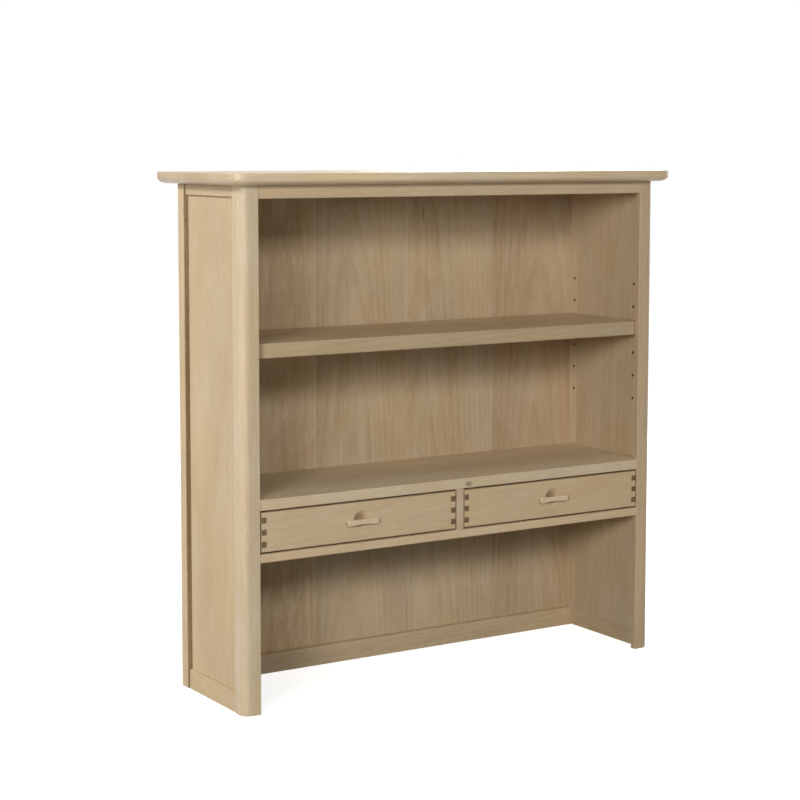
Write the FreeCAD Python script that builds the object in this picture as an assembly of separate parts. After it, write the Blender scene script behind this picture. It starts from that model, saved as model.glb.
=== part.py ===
import FreeCAD, Part
import os

# Dresser top (open rack with two drawers), millimetres, +Z up, front towards -Y.
# Origin: middle of the overall box in plan, on the plane the rack stands on.

# Overall
CARCASS_WIDTH = 1000.0
CARCASS_DEPTH = 270.0
TOTAL_HEIGHT = 1044.0

# Top board
TOP_THICKNESS = 23.4
TOP_OVERHANG = 30.0
TOP_REAR_OVERHANG = 30.0
TOP_CORNER_RADIUS = 30.0
TOP_NOSE_DEPTH = 22.0
TOP_NOSE_HEIGHT = 12.5
TOP_UPPER_ROUND = 2.0

# Posts and side frames
POST_FACE = 38.0
POST_DEPTH = 36.0
POST_LIP = 14.0
POST_ROUND = 18.0
REAR_POST_DEPTH = 27.0
SIDE_WALL = 17.2
RAIL_SETBACK = 1.8
PANEL_RECESS = 6.2
SHADOW_GROOVE = 5.0
SIDE_TOP_RAIL_HEIGHT = 22.0
SIDE_BOTTOM_RAIL_HEIGHT = 39.5
TONGUE_THICKNESS = 5.0
TONGUE_LENGTH = 6.0
TONGUE_INSET = 2.0
ARRIS_ROUND = 1.5

# Rails across the front and the back
FRONT_RAIL_HEIGHT = 25.2
TENON_LENGTH = 12.0
TENON_THICKNESS = 6.0
TENON_SHOULDER = 4.0
BACK_BOTTOM_RAIL_HEIGHT = 40.0
BACK_TOP_RAIL_HEIGHT = 28.0
BACK_RAIL_THICKNESS = 16.0

# Back boards
BACK_THICKNESS = 9.0
BACK_INSET = 6.0
BACK_BOARD_WIDTH = 226.0
BACK_BOARD_LEAST = 40.0
BACK_TONGUE_LENGTH = 6.0
BACK_TONGUE_THICKNESS = 3.0
BACK_CHAMFER = 1.0

# Drawer case
DRAWER_BOARD_HEIGHT = 296.8
DRAWER_BOARD_THICKNESS = 16.8
DRAWER_OPENING = 84.8
FIXED_SHELF_THICKNESS = 21.0
DIVIDER_THICKNESS = 16.5
DIVIDER_REAR_GAP = 10.0
HOUSING_DEPTH = 3.0
HOUSING_STOP = 10.0
GUIDE_HEIGHT = 20.0
GUIDE_CLEARANCE = 0.8

# Drawers
DRAWER_SIDE_GAP = 2.9
DRAWER_TOP_GAP = 4.0
DRAWER_RUN_GAP = 0.3
DRAWER_FRONT_LIFT = 3.7
DRAWER_RECESS = 1.0
DRAWER_REAR_GAP = 23.0
DRAWER_FRONT_THICKNESS = 18.0
DRAWER_SIDE_THICKNESS = 11.0
DRAWER_SIDE_DROP = 6.0
DRAWER_BACK_THICKNESS = 12.0
DRAWER_BACK_DROP = 4.0
DRAWER_BOTTOM_THICKNESS = 6.0
DRAWER_BOTTOM_LIFT = 6.7
DRAWER_GROOVE = 5.0
TAIL_PITCH = 23.5
TAIL_WIDTH = 11.4
TAIL_SLOPE = 8.0
FRONT_TAILS = 3
BACK_TAILS = 2
STOP_LENGTH = 30.0
STOP_DEPTH = 12.0
STOP_HEIGHT = 8.0
STOP_OFFSET = 110.0
STOP_GAP = 0.3

# Handles
SCOOP_RADIUS = 18.0
SCOOP_DEPTH = 8.0
SCOOP_RISE = 3.2
HANDLE_LENGTH = 73.0
HANDLE_END_HEIGHT = 13.5
HANDLE_WAIST = 9.5
HANDLE_DEPTH = 9.0
HANDLE_DROP = 4.0
HANDLE_ROUND = 2.5

# Adjustable shelf
PIN_FIRST = 547.4
PIN_PITCH = 50.0
PIN_COUNT = 6
PIN_IN_USE = 3
PIN_DIAMETER = 5.0
PIN_CLEARANCE = 0.1
PIN_HOLE_DEPTH = 6.0
PIN_REACH = 9.0
PIN_FRONT_INSET = 8.0
PIN_REAR_INSET = 11.0
SHELF_SEAT_GAP = 0.3
SHELF_THICKNESS = 18.4
SHELF_SETBACK = 2.0
SHELF_END_GAP = 1.0
SHELF_REAR_GAP = 6.0
LIP_HEIGHT = 29.0
LIP_THICKNESS = 14.0
LIP_ROUND = 2.0

# Planes worked out from the sizes above; depths count back from the post fronts
TOP_DEPTH = TOP_OVERHANG + CARCASS_DEPTH + TOP_REAR_OVERHANG
FRONT_Y = TOP_OVERHANG - TOP_DEPTH / 2
POST_OUTER = CARCASS_WIDTH / 2
POST_INNER = POST_OUTER - POST_FACE
WALL_INNER = POST_OUTER - SIDE_WALL
RAIL_OUTER = POST_OUTER - RAIL_SETBACK
PANEL_OUTER = RAIL_OUTER - PANEL_RECESS
TONGUE_INNER = WALL_INNER + TONGUE_INSET
TONGUE_OUTER = TONGUE_INNER + TONGUE_THICKNESS
REAR_POST_FRONT = CARCASS_DEPTH - REAR_POST_DEPTH
FRAME_END = REAR_POST_FRONT - SHADOW_GROOVE
TOP_UNDER = TOTAL_HEIGHT - TOP_THICKNESS
DRAWER_BOARD_TOP = DRAWER_BOARD_HEIGHT + DRAWER_BOARD_THICKNESS
FIXED_SHELF_UNDER = DRAWER_BOARD_TOP + DRAWER_OPENING
BACK_EDGE = POST_OUTER - BACK_INSET
DIVIDER_FACE = DIVIDER_THICKNESS / 2
BACK_RAIL_FRONT = CARCASS_DEPTH - BACK_RAIL_THICKNESS
DRAWER_WIDTH = POST_INNER - DIVIDER_FACE - 2 * DRAWER_SIDE_GAP
DRAWER_CENTRE = (POST_INNER + DIVIDER_FACE) / 2
PIN_FRONT = POST_DEPTH + PIN_FRONT_INSET
PIN_REAR = REAR_POST_FRONT + PIN_REAR_INSET

MIRROR_PLANE = (FreeCAD.Vector(0, 0, 0), FreeCAD.Vector(1, 0, 0))


def block(x0, x1, depth0, depth1, z0, z1):
    """Box between two corners, with depths counted back from the post fronts."""
    corner = FreeCAD.Vector(x0, FRONT_Y + depth0, z0)
    return Part.makeBox(x1 - x0, depth1 - depth0, z1 - z0, corner)


def prism_up(points, z0, z1):
    """Plan outline of (x, depth) points, raised from z0 to z1."""
    corners = [FreeCAD.Vector(x, FRONT_Y + depth, z0) for x, depth in points]
    outline = Part.makePolygon(corners + corners[:1])
    return Part.Face(outline).extrude(FreeCAD.Vector(0, 0, z1 - z0))


def prism_across(points, x0, x1):
    """Side outline of (depth, z) points, drawn out from x0 to x1."""
    corners = [FreeCAD.Vector(x0, FRONT_Y + depth, z) for depth, z in points]
    outline = Part.makePolygon(corners + corners[:1])
    return Part.Face(outline).extrude(FreeCAD.Vector(x1 - x0, 0, 0))


def fuse(pieces):
    return pieces[0].fuse(pieces[1:]).removeSplitter()


def cut(piece, tools):
    return piece.cut(Part.makeCompound(tools)) if len(tools) > 1 else piece.cut(tools[0])


def round_edges(shape, radius, wanted):
    """Round the edges whose middle point the test wants."""
    edges = [e for e in shape.Edges if wanted(e.valueAt((e.FirstParameter + e.LastParameter) / 2), e)]
    return shape.makeFillet(radius, edges)


def same(a, b):
    return abs(a - b) < 0.01


def upright(edge):
    return same(abs(edge.Vertexes[0].Z - edge.Vertexes[-1].Z), edge.Length)


def mirrored(shape):
    return shape.mirror(*MIRROR_PLANE)


def cylinder_out(x0, depth, z, radius, length):
    """Round peg or hole that runs outwards (+X) from the plane x0."""
    base = FreeCAD.Vector(x0, FRONT_Y + depth, z)
    return Part.makeCylinder(radius, length, base, FreeCAD.Vector(1, 0, 0))


def top_board():
    """Top with an oval nose: a round nose is made on a thicker board, which is then flattened."""
    half = POST_OUTER + TOP_OVERHANG
    front = FRONT_Y - TOP_OVERHANG
    rear = front + TOP_DEPTH
    nose = min(TOP_NOSE_DEPTH, 0.9 * TOP_CORNER_RADIUS)
    stretch = nose / TOP_NOSE_HEIGHT
    board = block(-half, half, -TOP_OVERHANG, CARCASS_DEPTH + TOP_REAR_OVERHANG, 0, TOP_THICKNESS * stretch)
    board = round_edges(board, TOP_CORNER_RADIUS, lambda p, e: upright(e) and same(p.y, front))
    board = round_edges(board, nose, lambda p, e: same(p.z, 0) and not same(p.y, rear))
    upper = TOP_THICKNESS * stretch
    board = round_edges(board, TOP_UPPER_ROUND, lambda p, e: same(p.z, upper) and not same(p.y, rear))
    flatten = FreeCAD.Matrix()
    flatten.scale(1, 1, 1 / stretch)
    flatten.move(FreeCAD.Vector(0, 0, TOP_UNDER))
    return board.transformGeometry(flatten)


def front_post_blank():
    """Right front post: an L in plan, with the outer corner rounded."""
    outline = [(POST_INNER, 0), (POST_OUTER, 0), (POST_OUTER, POST_DEPTH), (WALL_INNER, POST_DEPTH),
               (WALL_INNER, POST_LIP), (POST_INNER, POST_LIP)]
    post = prism_up(outline, 0, TOP_UNDER)
    post = round_edges(post, POST_ROUND, lambda p, e: upright(e) and same(p.x, POST_OUTER) and same(p.y, FRONT_Y))
    return round_edges(post, ARRIS_ROUND, lambda p, e: upright(e) and same(p.x, POST_INNER))


def rear_post_blank():
    post = block(WALL_INNER, POST_OUTER, REAR_POST_FRONT, CARCASS_DEPTH, 0, TOP_UNDER)
    return round_edges(post, ARRIS_ROUND, lambda p, e: upright(e) and same(p.x, POST_OUTER))


def framed_strip(outer, z0, z1, tongue_z0, tongue_z1):
    """Rail or panel of the right side: full thickness up to the shadow groove, with a tongue into both posts."""
    body = block(WALL_INNER, outer, POST_DEPTH, FRAME_END, z0, z1)
    inner = block(WALL_INNER, TONGUE_OUTER, POST_DEPTH, REAR_POST_FRONT, z0, z1)
    tongue = block(TONGUE_INNER, TONGUE_OUTER, POST_DEPTH - TONGUE_LENGTH, REAR_POST_FRONT + TONGUE_LENGTH,
                   tongue_z0, tongue_z1)
    return fuse([body, inner, tongue])


def side_rail(z0, z1):
    rail = framed_strip(RAIL_OUTER, z0, z1, z0, z1)
    panel_edge = z1 if z0 == 0 else z0
    return round_edges(rail, ARRIS_ROUND, lambda p, e: same(p.x, RAIL_OUTER) and same(p.z, panel_edge))


def side_panel_blank():
    """Panel of the right side, with its tongue all round."""
    z0 = SIDE_BOTTOM_RAIL_HEIGHT
    z1 = TOP_UNDER - SIDE_TOP_RAIL_HEIGHT
    return framed_strip(PANEL_OUTER, z0, z1, z0 - TONGUE_LENGTH, z1 + TONGUE_LENGTH)


def front_top_rail():
    z0 = TOP_UNDER - FRONT_RAIL_HEIGHT
    rail = block(-POST_INNER, POST_INNER, 0, POST_LIP, z0, TOP_UNDER)
    rail = round_edges(rail, ARRIS_ROUND, lambda p, e: same(p.z, z0) and same(p.y, FRONT_Y))
    reach = POST_INNER + TENON_LENGTH
    tenon = block(-reach, reach, TENON_SHOULDER, TENON_SHOULDER + TENON_THICKNESS,
                  z0 + TENON_SHOULDER, TOP_UNDER - TENON_SHOULDER)
    return fuse([rail, tenon])


def back_rail(z0, z1):
    rail = block(-WALL_INNER, WALL_INNER, BACK_RAIL_FRONT, CARCASS_DEPTH, z0, z1)
    rail = round_edges(rail, ARRIS_ROUND, lambda p, e: same(p.z, z1) and same(p.y, FRONT_Y + BACK_RAIL_FRONT))
    reach = WALL_INNER + TENON_LENGTH
    front = BACK_RAIL_FRONT + TENON_SHOULDER
    tenon = block(-reach, reach, front, front + TENON_THICKNESS, z0 + TENON_SHOULDER, z1 - TENON_SHOULDER)
    return fuse([rail, tenon])


def case_board(z0, z1):
    """Board across the case, notched round the post lips and housed in both side walls."""
    front = block(-POST_INNER, POST_INNER, 0, POST_LIP, z0, z1)
    reach = WALL_INNER + HOUSING_DEPTH
    rear = block(-reach, reach, POST_LIP, CARCASS_DEPTH, z0, z1)
    board = fuse([front, rear])
    front_arris = lambda p, e: same(p.y, FRONT_Y) and (same(p.z, z0) or same(p.z, z1))
    return round_edges(board, ARRIS_ROUND, front_arris)


def drawer_divider():
    rear = CARCASS_DEPTH - DIVIDER_REAR_GAP
    wall = block(-DIVIDER_FACE, DIVIDER_FACE, 0, rear, DRAWER_BOARD_TOP, FIXED_SHELF_UNDER)
    tongue = block(-DIVIDER_FACE, DIVIDER_FACE, HOUSING_STOP, rear,
                   DRAWER_BOARD_TOP - HOUSING_DEPTH, FIXED_SHELF_UNDER + HOUSING_DEPTH)
    return fuse([wall, tongue])


def drawer_guide():
    """Right guide strip, which fills the step between the side wall and the drawer."""
    inner = DRAWER_CENTRE + DRAWER_WIDTH / 2 + GUIDE_CLEARANCE
    return block(inner, WALL_INNER, POST_LIP, BACK_RAIL_FRONT, DRAWER_BOARD_TOP, DRAWER_BOARD_TOP + GUIDE_HEIGHT)


def drawer_stops():
    """Two blocks behind each drawer front, glued to the board."""
    front = DRAWER_RECESS + DRAWER_FRONT_THICKNESS + STOP_GAP
    blocks = []
    for side in (-1, 1):
        for offset in (-STOP_OFFSET, STOP_OFFSET):
            x0 = side * DRAWER_CENTRE + offset - STOP_LENGTH / 2
            blocks.append(block(x0, x0 + STOP_LENGTH, front, front + STOP_DEPTH,
                                DRAWER_BOARD_TOP, DRAWER_BOARD_TOP + STOP_HEIGHT))
    return Part.makeCompound(blocks)


def back_edges():
    """Edges of the back boards from left to right: laid from the right, the left one takes what remains."""
    edges = [BACK_EDGE]
    while edges[0] - BACK_BOARD_WIDTH > BACK_BOARD_LEAST - BACK_EDGE:
        edges.insert(0, edges[0] - BACK_BOARD_WIDTH)
    return [-BACK_EDGE] + edges


def back_board(left, right, tongue_left, groove_right):
    """Upright board, tongued into its left neighbour and grooved for its right one."""
    front = CARCASS_DEPTH
    rear = front + BACK_THICKNESS
    tongue0 = front + (BACK_THICKNESS - BACK_TONGUE_THICKNESS) / 2
    tongue1 = tongue0 + BACK_TONGUE_THICKNESS
    outline = [(left + BACK_CHAMFER, front), (right, front)]
    if groove_right:
        deep = right - BACK_TONGUE_LENGTH
        outline += [(right, tongue0), (deep, tongue0), (deep, tongue1), (right, tongue1)]
    outline += [(right, rear), (left, rear)]
    if tongue_left:
        tip = left - BACK_TONGUE_LENGTH
        outline += [(left, tongue1), (tip, tongue1), (tip, tongue0), (left, tongue0)]
    outline += [(left, front + BACK_CHAMFER)]
    return prism_up(outline, 0, TOP_UNDER)


def pin_height(index):
    return PIN_FIRST + index * PIN_PITCH


def pin_holes(depth):
    radius = PIN_DIAMETER / 2 + PIN_CLEARANCE
    return [cylinder_out(WALL_INNER, depth, pin_height(k), radius, PIN_HOLE_DEPTH) for k in range(PIN_COUNT)]


def shelf_pins():
    start = WALL_INNER - PIN_REACH
    length = PIN_REACH + PIN_HOLE_DEPTH
    right = [cylinder_out(start, depth, pin_height(PIN_IN_USE), PIN_DIAMETER / 2, length)
             for depth in (PIN_FRONT, PIN_REAR)]
    return Part.makeCompound(right + [mirrored(pin) for pin in right])


SHELF_UNDER = pin_height(PIN_IN_USE) + PIN_DIAMETER / 2 + SHELF_SEAT_GAP
SHELF_TOP = SHELF_UNDER + SHELF_THICKNESS
SHELF_FRONT = POST_LIP + SHELF_SETBACK
SHELF_END = WALL_INNER - SHELF_END_GAP


def shelf_board():
    front = SHELF_FRONT + LIP_THICKNESS
    return block(-SHELF_END, SHELF_END, front, CARCASS_DEPTH - SHELF_REAR_GAP, SHELF_UNDER, SHELF_TOP)


def shelf_lip():
    lip = block(-SHELF_END, SHELF_END, SHELF_FRONT, SHELF_FRONT + LIP_THICKNESS, SHELF_TOP - LIP_HEIGHT, SHELF_TOP)
    return round_edges(lip, LIP_ROUND, lambda p, e: same(p.y, FRONT_Y + SHELF_FRONT) and not upright(e))


DRAWER_BASE = DRAWER_BOARD_TOP + DRAWER_RUN_GAP
DRAWER_FRONT_BASE = DRAWER_BOARD_TOP + DRAWER_FRONT_LIFT
DRAWER_FRONT_TOP = FIXED_SHELF_UNDER - DRAWER_TOP_GAP
DRAWER_MIDDLE = (DRAWER_FRONT_BASE + DRAWER_FRONT_TOP) / 2
DRAWER_SIDE_TOP = DRAWER_FRONT_TOP - DRAWER_SIDE_DROP
DRAWER_BOTTOM_BASE = DRAWER_FRONT_BASE + DRAWER_BOTTOM_LIFT
DRAWER_BOTTOM_TOP = DRAWER_BOTTOM_BASE + DRAWER_BOTTOM_THICKNESS
DRAWER_BACK_TOP = DRAWER_SIDE_TOP - DRAWER_BACK_DROP
DRAWER_FACE = DRAWER_RECESS
DRAWER_INSIDE = DRAWER_FACE + DRAWER_FRONT_THICKNESS
DRAWER_REAR = CARCASS_DEPTH - DRAWER_REAR_GAP
DRAWER_BACK_FRONT = DRAWER_REAR - DRAWER_BACK_THICKNESS
DRAWER_HALF = DRAWER_WIDTH / 2
DRAWER_CLEAR_HALF = DRAWER_HALF - DRAWER_SIDE_THICKNESS
SCOOP_HEIGHT = DRAWER_MIDDLE + SCOOP_RISE


def tails(root_depth, tip_depth, middle, count):
    """Row of dovetails on the end of a right drawer side, wide at the tip."""
    spread = abs(tip_depth - root_depth) / TAIL_SLOPE
    tip = TAIL_WIDTH / 2
    root = tip - spread
    row = []
    for k in range(count):
        z = middle + (k - (count - 1) / 2) * TAIL_PITCH
        outline = [(root_depth, z - root), (tip_depth, z - tip), (tip_depth, z + tip), (root_depth, z + root)]
        row.append(prism_across(outline, DRAWER_CLEAR_HALF, DRAWER_HALF))
    return row


def drawer_side_blank():
    """Right side of a drawer, dovetailed through the front and the back."""
    body = block(DRAWER_CLEAR_HALF, DRAWER_HALF, DRAWER_INSIDE, DRAWER_BACK_FRONT, DRAWER_BASE, DRAWER_SIDE_TOP)
    heel = block(DRAWER_CLEAR_HALF, DRAWER_HALF, DRAWER_BACK_FRONT, DRAWER_REAR, DRAWER_BASE, DRAWER_BOTTOM_TOP)
    back_middle = (DRAWER_BOTTOM_TOP + DRAWER_BACK_TOP) / 2
    front_row = tails(DRAWER_INSIDE, DRAWER_FACE, DRAWER_MIDDLE, FRONT_TAILS)
    back_row = tails(DRAWER_BACK_FRONT, DRAWER_REAR, back_middle, BACK_TAILS)
    return fuse([body, heel] + front_row + back_row)


def drawer_bottom():
    reach = DRAWER_CLEAR_HALF + DRAWER_GROOVE
    return block(-reach, reach, DRAWER_INSIDE - DRAWER_GROOVE, DRAWER_REAR, DRAWER_BOTTOM_BASE, DRAWER_BOTTOM_TOP)


def scoop():
    """Ball that leaves a dished finger recess of the wanted radius and depth."""
    ball = (SCOOP_RADIUS ** 2 + SCOOP_DEPTH ** 2) / (2 * SCOOP_DEPTH)
    centre = FreeCAD.Vector(0, FRONT_Y + DRAWER_FACE + SCOOP_DEPTH - ball, SCOOP_HEIGHT)
    return Part.makeSphere(ball, centre)


def drawer_front(joined):
    front = block(-DRAWER_HALF, DRAWER_HALF, DRAWER_FACE, DRAWER_INSIDE, DRAWER_FRONT_BASE, DRAWER_FRONT_TOP)
    long_arris = lambda p, e: same(p.y, FRONT_Y + DRAWER_FACE) and not upright(e)
    front = round_edges(front, ARRIS_ROUND, long_arris)
    return cut(front, joined + [scoop()])


def drawer_back(joined):
    back = block(-DRAWER_HALF, DRAWER_HALF, DRAWER_BACK_FRONT, DRAWER_REAR, DRAWER_BOTTOM_TOP, DRAWER_BACK_TOP)
    return cut(back, joined)


def handle():
    """Waisted bar that bridges the scoop: two round ends joined by long hollow arcs, all tangent."""
    end = HANDLE_END_HEIGHT / 2
    waist = HANDLE_WAIST / 2
    end_x = HANDLE_LENGTH / 2 - end
    hollow = (end_x ** 2 + waist ** 2 - end ** 2) / (2 * (end - waist))
    share = end / (hollow + end)
    join_x = end_x * (1 - share)
    join_z = share * (waist + hollow)
    face = FRONT_Y + DRAWER_FACE

    def at(x, height):
        return FreeCAD.Vector(x, face, SCOOP_HEIGHT - HANDLE_DROP + height)

    edges = [
        Part.Arc(at(-join_x, join_z), at(0, waist), at(join_x, join_z)).toShape(),
        Part.Arc(at(join_x, join_z), at(end_x + end, 0), at(join_x, -join_z)).toShape(),
        Part.Arc(at(join_x, -join_z), at(0, -waist), at(-join_x, -join_z)).toShape(),
        Part.Arc(at(-join_x, -join_z), at(-end_x - end, 0), at(-join_x, join_z)).toShape(),
    ]
    bar = Part.Face(Part.Wire(edges)).extrude(FreeCAD.Vector(0, -HANDLE_DEPTH, 0))
    return round_edges(bar, HANDLE_ROUND, lambda p, e: same(p.y, face - HANDLE_DEPTH))


def export(name, shape):
    shape.exportStep("parts/" + name + ".step")


def export_pair(name, right):
    export("right_" + name, right)
    export("left_" + name, mirrored(right))


def build_drawer(name, x):
    """One drawer, moved from the middle to its bay."""
    bottom = drawer_bottom()
    blank = drawer_side_blank()
    sides = [blank, mirrored(blank)]
    right = cut(blank, [bottom])
    pieces = {
        "front": drawer_front(sides + [bottom]),
        "right_side": right,
        "left_side": mirrored(right),
        "back": drawer_back(sides),
        "bottom": bottom,
        "handle": handle(),
    }
    for piece, shape in pieces.items():
        shape.translate(FreeCAD.Vector(x, 0, 0))
        export(name + "_" + piece, shape)


def build_case():
    lower_rail = side_rail(0, SIDE_BOTTOM_RAIL_HEIGHT)
    upper_rail = side_rail(TOP_UNDER - SIDE_TOP_RAIL_HEIGHT, TOP_UNDER)
    panel = side_panel_blank()
    front_rail = front_top_rail()
    back_bottom = back_rail(0, BACK_BOTTOM_RAIL_HEIGHT)
    back_top = back_rail(TOP_UNDER - BACK_TOP_RAIL_HEIGHT, TOP_UNDER)
    divider = drawer_divider()
    drawer_board = case_board(DRAWER_BOARD_HEIGHT, DRAWER_BOARD_TOP)
    fixed_shelf = case_board(FIXED_SHELF_UNDER, FIXED_SHELF_UNDER + FIXED_SHELF_THICKNESS)
    boards = [drawer_board, fixed_shelf]
    frame = [lower_rail, upper_rail, panel]

    export("top_board", top_board())
    export_pair("front_post", cut(front_post_blank(), frame + [front_rail] + boards))
    export_pair("rear_post", cut(rear_post_blank(), frame + [back_bottom, back_top] + boards + pin_holes(PIN_REAR)))
    export_pair("side_top_rail", cut(upper_rail, [panel]))
    export_pair("side_bottom_rail", cut(lower_rail, [panel]))
    export_pair("side_panel", cut(panel, boards + pin_holes(PIN_FRONT)))
    export("front_top_rail", front_rail)
    export("back_top_rail", back_top)
    export("back_bottom_rail", back_bottom)
    export("drawer_board", cut(drawer_board, [divider]))
    export("fixed_shelf", cut(fixed_shelf, [divider]))
    export("drawer_divider", divider)
    export_pair("drawer_guide", drawer_guide())
    export("drawer_stops", drawer_stops())
    edges = back_edges()
    for k in range(len(edges) - 1):
        board = back_board(edges[k], edges[k + 1], k > 0, k < len(edges) - 2)
        export("back_board_" + str(k + 1), board)


os.makedirs("parts", exist_ok=True)
build_case()
export("shelf_pins", shelf_pins())
export("shelf_board", shelf_board())
export("shelf_lip", shelf_lip())
build_drawer("left_drawer", -DRAWER_CENTRE)
build_drawer("right_drawer", DRAWER_CENTRE)
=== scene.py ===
import math

import bmesh
import bpy
from mathutils import Matrix, Vector


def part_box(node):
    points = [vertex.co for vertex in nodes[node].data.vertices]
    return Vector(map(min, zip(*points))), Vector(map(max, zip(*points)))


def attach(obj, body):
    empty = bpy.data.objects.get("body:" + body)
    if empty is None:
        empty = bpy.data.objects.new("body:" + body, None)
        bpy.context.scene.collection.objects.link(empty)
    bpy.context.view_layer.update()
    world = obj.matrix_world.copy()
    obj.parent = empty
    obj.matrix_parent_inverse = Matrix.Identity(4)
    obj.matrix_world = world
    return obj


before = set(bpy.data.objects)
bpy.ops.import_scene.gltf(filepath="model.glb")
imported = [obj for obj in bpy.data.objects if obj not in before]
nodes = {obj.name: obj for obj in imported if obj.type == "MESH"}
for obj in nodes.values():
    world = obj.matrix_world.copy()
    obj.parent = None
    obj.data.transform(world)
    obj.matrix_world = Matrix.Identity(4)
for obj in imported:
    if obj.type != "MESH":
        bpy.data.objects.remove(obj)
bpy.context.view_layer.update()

# The photograph's viewpoint, in metres, degrees and millimetres
CAMERA_PLACE = (-2.1903, -3.3666, 1.0936)
CAMERA_TURN = 32.315
CAMERA_DIP = 5.4
CAMERA_ROLL = 0.057
CAMERA_LENS = 87.08
CAMERA_SHIFT = -0.0879

# Colours as seen on a screen
PALE_OAK = (200, 180, 149)
TAN_OAK = (178, 155, 122)
# Lime in the pores and fleck, and also the colour of the painted edge highlight
LIME_WAX_AND_HIGHLIGHT = (212, 196, 168)
END_OAK = (114, 93, 70)
KNOT_BROWN = (104, 80, 56)
# Painted shade: the colour laid in the rear posts' grooves and in the drawers' finger scoops
PAINTED_SHADE_BROWN = (120, 94, 62)
# Painted shade inside and around the shelf pin holes
PIN_HOLE_SHADE_BROWN = (80, 60, 40)
# Painted highlight along two of the back board joints
JOINT_HIGHLIGHT_PALE = (222, 204, 174)

# Sizes in metres
RING_WIDTH = 0.007
EASED_RADIUS = 0.0012
GRAIN_RELIEF = 0.0004
PIN_ROWS = (-0.091, 0.119)
PIN_LOWEST = 0.5474
PIN_PITCH = 0.05
PIN_HOLE_BOTTOM = 0.4895
HOLE_EDGE = 0.0027
HOLE_RIM = 0.0042
BACK_MIDDLE = 0.51
BOARD_FACE = 0.135
BOARD_REAR = 0.1445
GROOVE_ACROSS = 0.496
GROOVE_FACE = 0.1075
JOINT_HIGHLIGHT_OFFSET = 0.0008
SCREW_SEAT = 0.1458
SCREW_INSET = 0.028
POST_SCREWS = 0.4885
POST_SCREW_ROWS = (0.16, 0.56, 0.72, 0.86)
HEAD_RADIUS = 0.004
HEAD_HEIGHT = 0.0022
HEAD_ROUND = 0.0009
RECESS_REACH = 0.0026
RECESS_HALF_WIDTH = 0.0005
RECESS_DEPTH = 0.0012
FLOOR_RADIUS = 14

# Turns in radians
GRAIN_TURN = {"z": (0, 0, 0), "x": (0, -math.pi / 2, 0), "y": (math.pi / 2, 0, 0)}
SCREW_TURN = 0.65


def from_screen(red, green, blue):
    """A colour as it is seen on a screen (0 to 255), as the shader wants it."""
    def straight(value):
        value = value / 255
        return value / 12.92 if value <= 0.04045 else ((value + 0.055) / 1.055) ** 2.4
    return (straight(red), straight(green), straight(blue), 1.0)


def toned(colour, tone):
    red, green, blue, alpha = from_screen(*colour)
    return (red * tone[0], green * tone[1], blue * tone[2], alpha)


def centre(piece):
    low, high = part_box(piece)
    return (low + high) / 2


def board_joints():
    """Where the back boards meet: the right edge of each board but the last."""
    return [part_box("back_board_" + number)[1].x for number in "1234"]


def show(name, data):
    """A new object for the data, at the origin of the scene."""
    made = bpy.data.objects.new(name, data)
    bpy.context.scene.collection.objects.link(made)
    return made


def set_camera():
    data = bpy.data.cameras.new("photo camera")
    data.lens = CAMERA_LENS
    data.sensor_width = 36
    data.shift_y = CAMERA_SHIFT
    data.clip_end = 50
    camera = show("photo camera", data)
    camera.location = CAMERA_PLACE
    turn = Matrix.Rotation(math.radians(-CAMERA_TURN), 3, "Z")
    dip = Matrix.Rotation(math.radians(90 - CAMERA_DIP), 3, "X")
    roll = Matrix.Rotation(math.radians(CAMERA_ROLL), 3, "Z")
    camera.rotation_euler = (turn @ dip @ roll).to_euler()
    bpy.context.scene.camera = camera


# Soft studio light
def soft_light(name, place, target, width, height, watts, colour):
    data = bpy.data.lights.new(name, "AREA")
    data.shape = "RECTANGLE"
    data.size = width
    data.size_y = height
    data.energy = watts
    data.color = colour
    lamp = show(name, data)
    lamp.location = place
    lamp.rotation_euler = (Vector(target) - Vector(place)).to_track_quat("-Z", "Y").to_euler()
    lamp.visible_camera = False


def set_lights():
    soft_light("high left softbox", (-5.46, 1.47, 4.10), (0, 0, 0.4), 2.3, 1.15, 278, (1.0, 0.985, 0.96))
    soft_light("near left softbox", (-3.90, -3.15, 1.48), (0, 0, 0.3), 1.2, 0.6, 72, (1.0, 1.0, 1.0))
    soft_light("left front softbox", (-4.70, -4.70, 2.52), (0, 0, 0.3), 2.3, 1.15, 111, (1.0, 0.99, 0.98))
    soft_light("front softbox", (-0.55, -6.29, 3.45), (0, 0, 0.3), 2.3, 1.15, 136, (1.0, 0.97, 0.92))
    soft_light("top front softbox", (-0.60, -0.78, 3.60), (0, -0.1, 0.4), 0.9, 0.9, 13, (1.0, 0.985, 0.95))
    soft_light("back softbox", (2.3, 2.2, 1.9), (0, 0, 0.5), 1.8, 1.8, 45, (1.0, 1.0, 1.0))
    soft_light("right softbox", (4.6, 0.7, 1.7), (0, 0, 0.5), 1.8, 1.8, 62, (1.0, 0.99, 0.97))


# Shader bench
def add(tree, kind, **settings):
    made = tree.nodes.new(kind)
    for key, value in settings.items():
        setattr(made, key, value)
    return made


def put(tree, socket, value):
    """Wire a socket into an input, or set the input to a plain value."""
    if isinstance(value, bpy.types.NodeSocket):
        tree.links.new(value, socket)
    else:
        socket.default_value = value


def fill_in(tree, made, **values):
    """Wire or set inputs by their labels, with spaces written as underscores."""
    for label, value in values.items():
        put(tree, made.inputs[label.replace("_", " ")], value)
    return made


def sums(tree, operation, *terms, clamp=False):
    made = add(tree, "ShaderNodeMath", operation=operation, use_clamp=clamp)
    for socket, term in zip(made.inputs, terms):
        put(tree, socket, term)
    return made.outputs[0]


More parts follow.
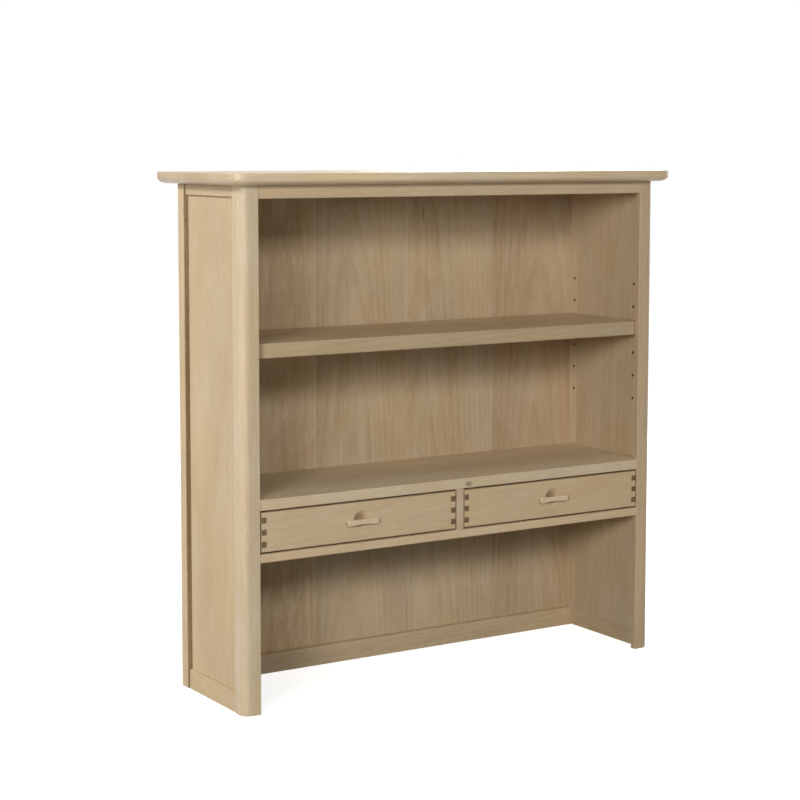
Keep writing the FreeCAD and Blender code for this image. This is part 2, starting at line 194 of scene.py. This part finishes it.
def vector_sums(tree, operation, *terms):
    made = add(tree, "ShaderNodeVectorMath", operation=operation)
    for socket, term in zip(made.inputs, terms):
        put(tree, socket, term)
    return made.outputs["Value" if operation in ("LENGTH", "DOT_PRODUCT") else "Vector"]


def axes(tree, vector):
    made = add(tree, "ShaderNodeSeparateXYZ")
    put(tree, made.inputs[0], vector)
    return made.outputs


def noise(tree, place, scales, detail=2.0, roughness=0.5, output="Fac"):
    """Noise at a place, with its own fineness along X, Y and Z."""
    made = add(tree, "ShaderNodeTexNoise")
    fill_in(tree, made, Vector=vector_sums(tree, "MULTIPLY", place, scales), Scale=1.0, Detail=detail,
            Roughness=roughness)
    return made.outputs[output]


def ease(tree, value, low, high, to_low=0.0, to_high=1.0):
    made = add(tree, "ShaderNodeMapRange", interpolation_type="SMOOTHSTEP", clamp=True)
    fill_in(tree, made, Value=value, From_Min=low, From_Max=high, To_Min=to_low, To_Max=to_high)
    return made.outputs["Result"]


def blend_colour(tree, share, first, second, kind="MIX"):
    made = add(tree, "ShaderNodeMix", data_type="RGBA", blend_type=kind, clamp_factor=True)
    put(tree, made.inputs[0], share)
    put(tree, made.inputs[6], first)
    put(tree, made.inputs[7], second)
    return made.outputs[2]


def mixed_shader(tree, share, first, second):
    made = add(tree, "ShaderNodeMixShader")
    for socket, value in zip(made.inputs, (share, first, second)):
        put(tree, socket, value)
    return made.outputs[0]


def new_group(name, inputs, outputs):
    """Empty node group with its named sockets; returns it with its inputs and its output node."""
    tree = bpy.data.node_groups.new(name, "ShaderNodeTree")
    for label, kind, default in inputs:
        socket = tree.interface.new_socket(label, in_out="INPUT", socket_type="NodeSocket" + kind)
        socket.default_value = default
    for label, kind in outputs:
        tree.interface.new_socket(label, in_out="OUTPUT", socket_type="NodeSocket" + kind)
    return tree, add(tree, "NodeGroupInput").outputs, add(tree, "NodeGroupOutput").inputs


def new_material(name):
    material = bpy.data.materials.new(name)
    material.use_nodes = True
    return material, material.node_tree, material.node_tree.nodes["Principled BSDF"]


# Oak
def oak_figure():
    """Limed oak with the grain along Z: growth rings, streaks, limed pores, ray fleck and end grain."""
    tree, given, result = new_group(
        "oak figure",
        [("Place", "Vector", (0, 0, 0)), ("Facing", "Vector", (0, 0, 1)),
         ("Lean", "Float", 0.04), ("Figure", "Float", 1.0), ("Fleck", "Float", 0.2),
         ("End Share", "Float", 0.4), ("Sheen", "Float", 0.58),
         ("Pale", "Color", (0.66, 0.52, 0.34, 1)), ("Tan", "Color", (0.52, 0.39, 0.24, 1)),
         ("Lime", "Color", (0.74, 0.64, 0.48, 1)), ("End Brown", "Color", (0.24, 0.165, 0.095, 1))],
        [("Colour", "Color"), ("Roughness", "Float"), ("Height", "Float")])
    place = given["Place"]

    slow = noise(tree, place, (5, 5, 0.9), 1.0, 0.5, "Color")
    moved = vector_sums(tree, "MULTIPLY_ADD", slow, (0.03, 0.03, 0.0), place)
    wander = noise(tree, place, (30, 30, 2.2), 2.0, 0.5, "Color")
    moved = vector_sums(tree, "MULTIPLY_ADD", wander, (0.003, 0.003, 0.0), moved)

    parts = axes(tree, moved)
    lean = sums(tree, "MULTIPLY_ADD", parts["Z"], given["Lean"], parts["Y"])
    squared = sums(tree, "MULTIPLY_ADD", lean, lean, sums(tree, "MULTIPLY", parts["X"], parts["X"]))
    count = sums(tree, "DIVIDE", sums(tree, "SQRT", squared), RING_WIDTH)
    year = noise(tree, moved, (25, 25, 0.8), 1.0)
    phase = sums(tree, "FRACT", sums(tree, "MULTIPLY_ADD", year, 1.1, count))
    late = sums(tree, "MULTIPLY", sums(tree, "POWER", phase, 2.2), ease(tree, phase, 1.0, 0.86))

    tone = noise(tree, place, (9, 9, 1.6))
    cloud = noise(tree, place, (17, 17, 7), 2.0, 0.55)
    streak = noise(tree, moved, (150, 150, 1.3), 3.0, 0.62)
    streaky = ease(tree, noise(tree, place, (14, 14, 1.2), 1.0), 0.42, 0.64, 0.35, 1.4)
    fibre = noise(tree, moved, (850, 850, 13), 2.0, 0.55)
    pore_field = noise(tree, moved, (1500, 1500, 42), 1.0)
    pore = sums(tree, "MULTIPLY", ease(tree, pore_field, 0.56, 0.66), ease(tree, late, 0.5, 0.05, 0.25, 1.0))
    fleck_field = noise(tree, moved, (95, 95, 26), 2.0, 0.55)
    fleck = sums(tree, "MULTIPLY", ease(tree, fleck_field, 0.56, 0.68), given["Fleck"])

    lift = sums(tree, "MULTIPLY", sums(tree, "SUBTRACT", 0.25, late), 0.35)
    for field, weight in ((tone, 1.2), (cloud, 1.1), (streak, streaky), (fibre, 0.5)):
        lift = sums(tree, "MULTIPLY_ADD", sums(tree, "SUBTRACT", field, 0.5), weight, lift)
    share = sums(tree, "MULTIPLY_ADD", lift, given["Figure"], 0.5, clamp=True)
    colour = blend_colour(tree, share, given["Tan"], given["Pale"])
    colour = blend_colour(tree, sums(tree, "MULTIPLY", pore, 0.45), colour, given["Lime"])
    colour = blend_colour(tree, fleck, colour, given["Lime"])
    warm = ease(tree, noise(tree, place, (8, 8, 4)), 0.36, 0.66)
    warmth = blend_colour(tree, warm, (0.99, 1.005, 1.03, 1), (1.01, 0.99, 0.95, 1))
    colour = blend_colour(tree, 1.0, colour, warmth, "MULTIPLY")

    end = ease(tree, sums(tree, "ABSOLUTE", axes(tree, given["Facing"])["Z"]), 0.55, 0.9)
    end_rings = ease(tree, noise(tree, place, (420, 420, 60), 2.0, 0.6), 0.3, 0.7, 0.8, 1.25)
    end_colour = blend_colour(tree, 1.0, given["End Brown"], end_rings, "MULTIPLY")
    colour = blend_colour(tree, sums(tree, "MULTIPLY", end, given["End Share"]), colour, end_colour)
    put(tree, result["Colour"], colour)

    sheen = sums(tree, "MULTIPLY_ADD", sums(tree, "SUBTRACT", streak, 0.5), 0.2, given["Sheen"])
    put(tree, result["Roughness"], sums(tree, "MULTIPLY_ADD", pore, 0.16, sheen))
    height = sums(tree, "MULTIPLY_ADD", fibre, 0.35, sums(tree, "MULTIPLY", late, 0.25))
    put(tree, result["Height"], sums(tree, "MULTIPLY_ADD", pore, -0.6, height))
    return tree


def eased_edges():
    """Sharp arrises rounded over in the light, with a painted highlight: pale colour laid in patches along
    the arrises.
    """
    tree, given, result = new_group(
        "eased edges",
        [("Place", "Vector", (0, 0, 0)), ("Colour", "Color", (0.5, 0.5, 0.5, 1)),
         ("Rubbed", "Color", (0.74, 0.64, 0.48, 1)), ("Amount", "Float", 0.5)],
        [("Colour", "Color"), ("Normal", "Vector")])
    bevel = add(tree, "ShaderNodeBevel", samples=4)
    bevel.inputs["Radius"].default_value = EASED_RADIUS
    surface = add(tree, "ShaderNodeNewGeometry")
    match = vector_sums(tree, "DOT_PRODUCT", bevel.outputs[0], surface.outputs["True Normal"])
    # Painted highlight: where the rounded normal turns away from the true one, along the arrises, the pale
    # colour is laid on.
    arris_highlight = ease(tree, match, 0.995, 0.86)
    patchy = ease(tree, noise(tree, given["Place"], (60, 60, 25), 3.0, 0.6), 0.35, 0.65, 0.25, 1.0)
    share = sums(tree, "MULTIPLY", sums(tree, "MULTIPLY", arris_highlight, patchy), given["Amount"])
    put(tree, result["Colour"], blend_colour(tree, share, given["Colour"], given["Rubbed"]))
    put(tree, result["Normal"], bevel.outputs[0])
    return tree


def wood_mark():
    """A knot, stain or line in the grain, or a patch of painted shade or painted highlight, with a ragged
    rim.
    """
    tree, given, result = new_group(
        "wood mark",
        [("Place", "Vector", (0, 0, 0)), ("Middle", "Vector", (0, 0, 0)),
         ("Reach", "Vector", (0.01, 0.01, 0.01)),
         ("Colour", "Color", (0.5, 0.4, 0.25, 1)), ("Stain", "Color", (0.2, 0.14, 0.08, 1)),
         ("Strength", "Float", 0.7)],
        [("Colour", "Color")])
    away = vector_sums(tree, "SUBTRACT", given["Place"], given["Middle"])
    far = vector_sums(tree, "LENGTH", vector_sums(tree, "DIVIDE", away, given["Reach"]))
    rough = noise(tree, given["Place"], (160, 160, 160), 2.0, 0.6)
    ragged = sums(tree, "ADD", far, sums(tree, "MULTIPLY_ADD", rough, 0.5, -0.25))
    share = sums(tree, "MULTIPLY", ease(tree, ragged, 1.0, 0.1), given["Strength"])
    put(tree, result["Colour"], blend_colour(tree, share, given["Colour"], given["Stain"]))
    return tree


def pin_hole_shade():
    """Painted shade: dark insides and soft dark rims of the shelf pin holes, two rows on each wall."""
    tree, given, result = new_group(
        "pin hole shade", [("Place", "Vector", (0, 0, 0)), ("Colour", "Color", (0.5, 0.4, 0.25, 1))],
        [("Colour", "Color")])
    parts = axes(tree, given["Place"])
    front, rear = [sums(tree, "ABSOLUTE", sums(tree, "SUBTRACT", parts["Y"], row)) for row in PIN_ROWS]
    aside = sums(tree, "MINIMUM", front, rear)
    level = sums(tree, "PINGPONG", sums(tree, "SUBTRACT", parts["Z"], PIN_LOWEST), PIN_PITCH / 2)
    far = sums(tree, "SQRT", sums(tree, "MULTIPLY_ADD", aside, aside, sums(tree, "MULTIPLY", level, level)))
    from_middle = sums(tree, "ABSOLUTE", sums(tree, "SUBTRACT", parts["Z"], PIN_LOWEST + PIN_PITCH * 2.5))
    within = sums(tree, "LESS_THAN", from_middle, PIN_PITCH * 2.8)
    inside = sums(tree, "LESS_THAN", sums(tree, "ABSOLUTE", parts["X"]), PIN_HOLE_BOTTOM)
    share = sums(tree, "MULTIPLY", ease(tree, far, HOLE_RIM, HOLE_EDGE, 0.0, 0.85),
                 sums(tree, "MULTIPLY", within, inside))
    put(tree, result["Colour"], blend_colour(tree, share, given["Colour"], from_screen(*PIN_HOLE_SHADE_BROWN)))
    return tree


OAK_FIGURE = oak_figure()
EASED_EDGES = eased_edges()
WOOD_MARK = wood_mark()
PIN_HOLE_SHADE = pin_hole_shade()


def mark(middle, reach, colour, strength):
    """Where a mark lies, how far it reaches along X, Y and Z, its colour and its strength."""
    return {"Middle": middle, "Reach": reach, "Stain": from_screen(*colour), "Strength": strength}


def oak(piece, grain, pith, tone=(1, 1, 1), lean=0.04, figure=1.0, fleck=0.15, end=0.3, wear=0.45, sheen=0.58,
        gloss=0.1, marks=(), pin_holes=False):
    """Limed oak for one piece, cut from its own place in the log.
    pith is where the piece's middle lies from the heart."""
    material, tree, shader = new_material(piece + " oak")
    about_x, about_y, _ = GRAIN_TURN[grain]
    middle = Matrix.Rotation(about_x, 3, "X") @ Matrix.Rotation(about_y, 3, "Y") @ centre(piece)

    spot = add(tree, "ShaderNodeTexCoord").outputs
    place = add(tree, "ShaderNodeMapping", vector_type="POINT")
    fill_in(tree, place, Vector=spot["Object"], Rotation=GRAIN_TURN[grain], Location=Vector(pith) - middle)
    facing = add(tree, "ShaderNodeMapping", vector_type="VECTOR")
    fill_in(tree, facing, Vector=spot["Normal"], Rotation=GRAIN_TURN[grain])

    figured = add(tree, "ShaderNodeGroup", node_tree=OAK_FIGURE)
    fill_in(tree, figured, Place=place.outputs[0], Facing=facing.outputs[0], Lean=lean, Figure=figure,
            Fleck=fleck, End_Share=end, Sheen=sheen, Pale=toned(PALE_OAK, tone), Tan=toned(TAN_OAK, tone),
            Lime=toned(LIME_WAX_AND_HIGHLIGHT, tone), End_Brown=from_screen(*END_OAK))
    colour = figured.outputs["Colour"]
    for marked in marks:
        tinted = add(tree, "ShaderNodeGroup", node_tree=WOOD_MARK)
        fill_in(tree, tinted, Place=spot["Object"], Colour=colour, **marked)
        colour = tinted.outputs["Colour"]
    if pin_holes:
        drilled = add(tree, "ShaderNodeGroup", node_tree=PIN_HOLE_SHADE)
        fill_in(tree, drilled, Place=spot["Object"], Colour=colour)
        colour = drilled.outputs["Colour"]
    # Painted highlight along the arrises, in the pale lime colour
    eased = add(tree, "ShaderNodeGroup", node_tree=EASED_EDGES)
    fill_in(tree, eased, Place=place.outputs[0], Colour=colour, Rubbed=toned(LIME_WAX_AND_HIGHLIGHT, tone), Amount=wear)
    bump = add(tree, "ShaderNodeBump")
    fill_in(tree, bump, Strength=0.35, Distance=GRAIN_RELIEF, Height=figured.outputs["Height"],
            Normal=eased.outputs["Normal"])
    fill_in(tree, shader, Base_Color=eased.outputs["Colour"], Roughness=figured.outputs["Roughness"],
            Normal=bump.outputs[0], Specular_IOR_Level=gloss)
    return material


def dress(piece, material):
    for slot in nodes[piece].material_slots:
        slot.material = material


def dress_oak(piece, grain, pith, **look):
    dress(piece, oak(piece, grain, pith, **look))


def painted_groove_shade(side):
    """Painted shade down the groove side of a rear post."""
    return mark((side * GROOVE_ACROSS, GROOVE_FACE, BACK_MIDDLE), (0.016, 0.0033, 1.2), PAINTED_SHADE_BROWN, 0.88)


def joint_highlight(joint):
    """A pale line painted along the joint between two back boards: a painted highlight of the joint's edge.
    """
    return mark((joint - JOINT_HIGHLIGHT_OFFSET, BOARD_FACE, 0.86), (0.0021, 0.01, 0.7), JOINT_HIGHLIGHT_PALE, 0.62)


def rear_joint_shade(across):
    """Dark dust along a board's edge, on the rear face only."""
    return mark((across, BOARD_REAR, BACK_MIDDLE), (0.0022, 0.005, 3.0), KNOT_BROWN, 0.85)


def dress_sides():
    side_knot = mark((-0.492, -0.0935, 0.809), (0.02, 0.006, 0.014), KNOT_BROWN, 0.6)
    # The left front post is painted lighter and the right one darker: painted light from the left and painted
    # shade on the right.
    for side, turn, post_painted_light, panel_marks in (("left", 1, (1.03, 1.06, 1.10), [side_knot]),
                                               ("right", -1, (0.92, 0.88, 0.84), [])):
        dress_oak(side + "_front_post", "z", (0.09, 0.03 * turn, 0.4), tone=post_painted_light, lean=0.02, figure=0.8,
                  sheen=0.42, gloss=0.35)
        # The rear posts carry painted shade down their groove side.
        dress_oak(side + "_rear_post", "z", (0.05 * turn, 0.08, 1.4), tone=(1.08, 1.08, 1.10), lean=0.02,
                  marks=[painted_groove_shade(-turn)], pin_holes=True)
        dress_oak(side + "_side_top_rail", "y", (0.07, 0.05 * turn, 0.7), figure=0.7, wear=0.6)
        dress_oak(side + "_side_bottom_rail", "y", (0.08, 0.04 * turn, 2.1), figure=0.7, wear=0.6)
        dress_oak(side + "_side_panel", "z", (0.10, 0.05 * turn, 0.9), figure=0.75, wear=0.2,
                  marks=panel_marks, pin_holes=True)
        dress_oak(side + "_drawer_guide", "y", (0.06, 0.05 * turn, 1.7))


def dress_boards_and_rails():
    edge_knot = mark((0.0204, -0.135, 0.407), (0.013, 0.02, 0.008), KNOT_BROWN, 0.7)
    dress_oak("top_board", "x", (0.02, 0.11, 0.3), tone=(1.17, 1.17, 1.18), lean=0.02, sheen=0.34, gloss=0.4)
    dress_oak("front_top_rail", "x", (0.06, 0.07, 1.2), tone=(1.0, 0.99, 1.0), lean=0.02, figure=0.6)
    dress_oak("back_top_rail", "x", (0.05, 0.09, 2.2))
    dress_oak("back_bottom_rail", "x", (0.08, 0.06, 0.2), figure=0.7)
    # The fixed shelf's tone is raised, partly as painted light standing in for the light on its top.
    dress_oak("fixed_shelf", "x", (0.09, 0.03, 1.9), tone=(1.14, 1.18, 1.23), figure=0.6, wear=0.6,
              marks=[edge_knot])
    dress_oak("drawer_board", "x", (0.10, 0.02, 3.3), tone=(1.15, 1.15, 1.15), figure=0.6, wear=0.6)
    dress_oak("drawer_divider", "y", (0.04, 0.06, 0.6), tone=(1.05, 1.05, 1.08), end=0.05)
    dress_oak("drawer_stops", "x", (0.05, 0.05, 4.1))


def dress_back():
    _, second_joint, third_joint, _ = board_joints()
    dark_streak = mark((0.084, BOARD_FACE, 0.947), (0.0035, 0.02, 0.03), KNOT_BROWN, 0.5)
    boards = (("back_board_1", (0.03, 0.10, 0.1), (0.97, 0.97, 0.97), 0.15, []),
              # Boards 2 and 3 carry a painted highlight along their right-hand joint.
              ("back_board_2", (-0.05, 0.09, 1.3), (1.08, 1.07, 1.07), 0.4, [joint_highlight(second_joint)]),
              ("back_board_3", (0.02, 0.08, 2.7), (0.94, 0.94, 0.95), 0.15, [joint_highlight(third_joint)]),
              ("back_board_4", (0.06, 0.10, 3.9), (0.95, 0.95, 0.96), 0.2, [dark_streak]),
              ("back_board_5", (-0.03, 0.07, 5.2), (0.90, 0.88, 0.88), 0.2, []))
    for piece, pith, tone, fleck, marks in boards:
        low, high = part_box(piece)
        rear_joints = [rear_joint_shade(edge) for edge in (low.x, high.x)]
        dress_oak(piece, "z", pith, tone=tone, lean=0.03, fleck=fleck, wear=0.8, marks=marks + rear_joints)


def dress_shelf():
    dress_oak("shelf_board", "x", (0.09, 0.04, 0.8), tone=(1.05, 1.05, 1.06), figure=0.7)
    dress_oak("shelf_lip", "x", (0.07, 0.05, 2.5), tone=(0.87, 0.875, 0.87), figure=0.6)


def dress_drawers():
    for drawer, along in (("left_drawer_", 0.0), ("right_drawer_", 1.7)):
        scoop = (centre(drawer + "front").x, -0.126, 0.359)
        # Painted shade in the hollow of the finger scoop, together with finger patina.
        scoop_shade_and_patina = mark(scoop, (0.021, 0.0078, 0.021), PAINTED_SHADE_BROWN, 0.6)
        dress_oak(drawer + "front", "x", (0.03, 0.09, 0.5 + along), tone=(1.07, 1.06, 1.03), lean=0.03,
                  figure=0.38, wear=0.7, marks=[scoop_shade_and_patina])
        dress_oak(drawer + "handle", "x", (0.05, 0.04, 0.9 + along), tone=(1.28, 1.33, 1.42), figure=0.6)
        for piece in ("left_side", "right_side"):
            dress_oak(drawer + piece, "y", (0.06, 0.05, 1.1 + along), end=1.0)
        dress_oak(drawer + "back", "x", (0.05, 0.08, 2.3 + along))
        dress_oak(drawer + "bottom", "x", (0.08, 0.05, 3.1 + along))


# Steel
def pin_steel():
    material, tree, shader = new_material("shelf pin steel")
    spot = add(tree, "ShaderNodeTexCoord")
    scuff = noise(tree, spot.outputs["Object"], (400, 2500, 2500), 3.0, 0.6)
    grey = blend_colour(tree, ease(tree, scuff, 0.3, 0.7), (0.42, 0.41, 0.39, 1), (0.60, 0.59, 0.57, 1))
    fill_in(tree, shader, Base_Color=grey, Roughness=ease(tree, scuff, 0.3, 0.7, 0.42, 0.28), Metallic=1.0)
    return material


def points_of(parts):
    return [part for part in parts if isinstance(part, bmesh.types.BMVert)]


def everything(shape):
    return shape.verts[:] + shape.edges[:] + shape.faces[:]


def round_screw_head():
    """Round screw head seen along Z, with a cross recess, top at zero."""
    shape = bmesh.new()
    bmesh.ops.create_circle(shape, cap_ends=True, segments=24, radius=HEAD_RADIUS)
    for normal in (Vector((1, 0, 0)), Vector((0, 1, 0))):
        for offset in (-RECESS_REACH, -RECESS_HALF_WIDTH, RECESS_HALF_WIDTH, RECESS_REACH):
            bmesh.ops.bisect_plane(shape, geom=everything(shape), plane_co=normal * offset, plane_no=normal)
    cross = []
    for face in shape.faces:
        x, y = abs(face.calc_center_median().x), abs(face.calc_center_median().y)
        if min(x, y) < RECESS_HALF_WIDTH and max(x, y) < RECESS_REACH:
            cross.append(face)
    rim = [edge for edge in shape.edges if edge.is_boundary]
    sunk = bmesh.ops.extrude_face_region(shape, geom=cross)["geom"]
    bmesh.ops.translate(shape, verts=points_of(sunk), vec=(0, 0, -RECESS_DEPTH))
    bmesh.ops.delete(shape, geom=cross, context="FACES")
    skirt = bmesh.ops.extrude_edge_only(shape, edges=rim)["geom"]
    bmesh.ops.translate(shape, verts=points_of(skirt), vec=(0, 0, -HEAD_HEIGHT))
    base = [part for part in skirt if isinstance(part, bmesh.types.BMEdge) and part.is_boundary]
    bmesh.ops.edgeloop_fill(shape, edges=base)
    bmesh.ops.bevel(shape, geom=rim, affect="EDGES", offset=HEAD_ROUND, segments=3, profile=0.5, material=-1)
    bmesh.ops.recalc_face_normals(shape, faces=shape.faces[:])
    return shape


def back_screws(steel):
    """Screws that hold the back boards to the rails, shelves and rear posts."""
    rows = [centre(piece).z for piece in ("back_top_rail", "fixed_shelf", "drawer_board", "back_bottom_rail")]
    left_end, right_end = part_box("back_board_1")[0].x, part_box("back_board_5")[1].x
    across = [left_end + SCREW_INSET]
    for joint in board_joints():
        across += [joint - SCREW_INSET, joint + SCREW_INSET]
    across.append(right_end - SCREW_INSET)
    spots = [(x, z) for z in rows for x in across]
    spots += [(side * POST_SCREWS, z) for side in (-1, 1) for z in POST_SCREW_ROWS]
    shape = round_screw_head()
    head = everything(shape)
    for index, (x, z) in enumerate(spots):
        copy = bmesh.ops.duplicate(shape, geom=head)["geom"]
        seat = Matrix.Translation((x, SCREW_SEAT, z)) @ Matrix.Rotation(-math.pi / 2, 4, "X")
        turn = Matrix.Rotation(SCREW_TURN * index, 4, "Z")
        bmesh.ops.transform(shape, matrix=seat @ turn, verts=points_of(copy))
    bmesh.ops.delete(shape, geom=points_of(head), context="VERTS")
    mesh = bpy.data.meshes.new("back_screws")
    shape.to_mesh(mesh)
    shape.free()
    screws = show("back_screws", mesh)
    mesh.materials.append(steel)
    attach(screws, "carcass")


# Pale floor and white surroundings
def seen_directly(tree):
    """One where the eye, a gloss or a glass looks straight at the surface."""
    path = add(tree, "ShaderNodeLightPath")
    direct = sums(tree, "MAXIMUM", path.outputs["Is Camera Ray"], path.outputs["Is Glossy Ray"])
    return sums(tree, "MAXIMUM", direct, path.outputs["Is Transmission Ray"])


def floor_paint():
    """Grey in the light that it gives back, and near white to the eye, so that only the shadow shows."""
    material, tree, _ = new_material("pale studio floor")
    tree.nodes.clear()
    paint = fill_in(tree, add(tree, "ShaderNodeBsdfDiffuse"), Color=(0.34, 0.34, 0.34, 1))
    shaded = fill_in(tree, add(tree, "ShaderNodeBsdfDiffuse"), Color=(0.6, 0.6, 0.6, 1))
    spot = add(tree, "ShaderNodeTexCoord")
    away = vector_sums(tree, "LENGTH", spot.outputs["Object"])
    glow = add(tree, "ShaderNodeEmission")
    fill_in(tree, glow, Color=(1, 1, 1, 1), Strength=ease(tree, away, 0.7, 2.0, 0.8, 1.0))
    bright = add(tree, "ShaderNodeAddShader")
    put(tree, bright.inputs[0], shaded.outputs[0])
    put(tree, bright.inputs[1], glow.outputs[0])
    both = mixed_shader(tree, seen_directly(tree), paint.outputs[0], bright.outputs[0])
    fill_in(tree, add(tree, "ShaderNodeOutputMaterial"), Surface=both)
    return material


def set_floor():
    mesh = bpy.data.meshes.new("studio floor")
    shape = bmesh.new()
    bmesh.ops.create_circle(shape, cap_ends=True, segments=96, radius=FLOOR_RADIUS)
    shape.to_mesh(mesh)
    shape.free()
    floor = show("studio floor", mesh)
    mesh.materials.append(floor_paint())


def set_surroundings():
    world = bpy.data.worlds.new("white studio")
    bpy.context.scene.world = world
    world.use_nodes = True
    tree = world.node_tree
    tree.nodes.clear()
    fill = fill_in(tree, add(tree, "ShaderNodeBackground"), Color=(1.0, 0.99, 0.975, 1), Strength=0.003)
    white = fill_in(tree, add(tree, "ShaderNodeBackground"), Color=(1, 1, 1, 1), Strength=1.0)
    both = mixed_shader(tree, seen_directly(tree), fill.outputs[0], white.outputs[0])
    fill_in(tree, add(tree, "ShaderNodeOutputWorld"), Surface=both)


set_camera()
set_lights()
set_floor()
set_surroundings()
dress_sides()
dress_boards_and_rails()
dress_back()
dress_shelf()
dress_drawers()
shelf_pin_steel = pin_steel()
dress("shelf_pins", shelf_pin_steel)
back_screws(shelf_pin_steel)
bpy.context.scene.view_settings.view_transform = "Standard"
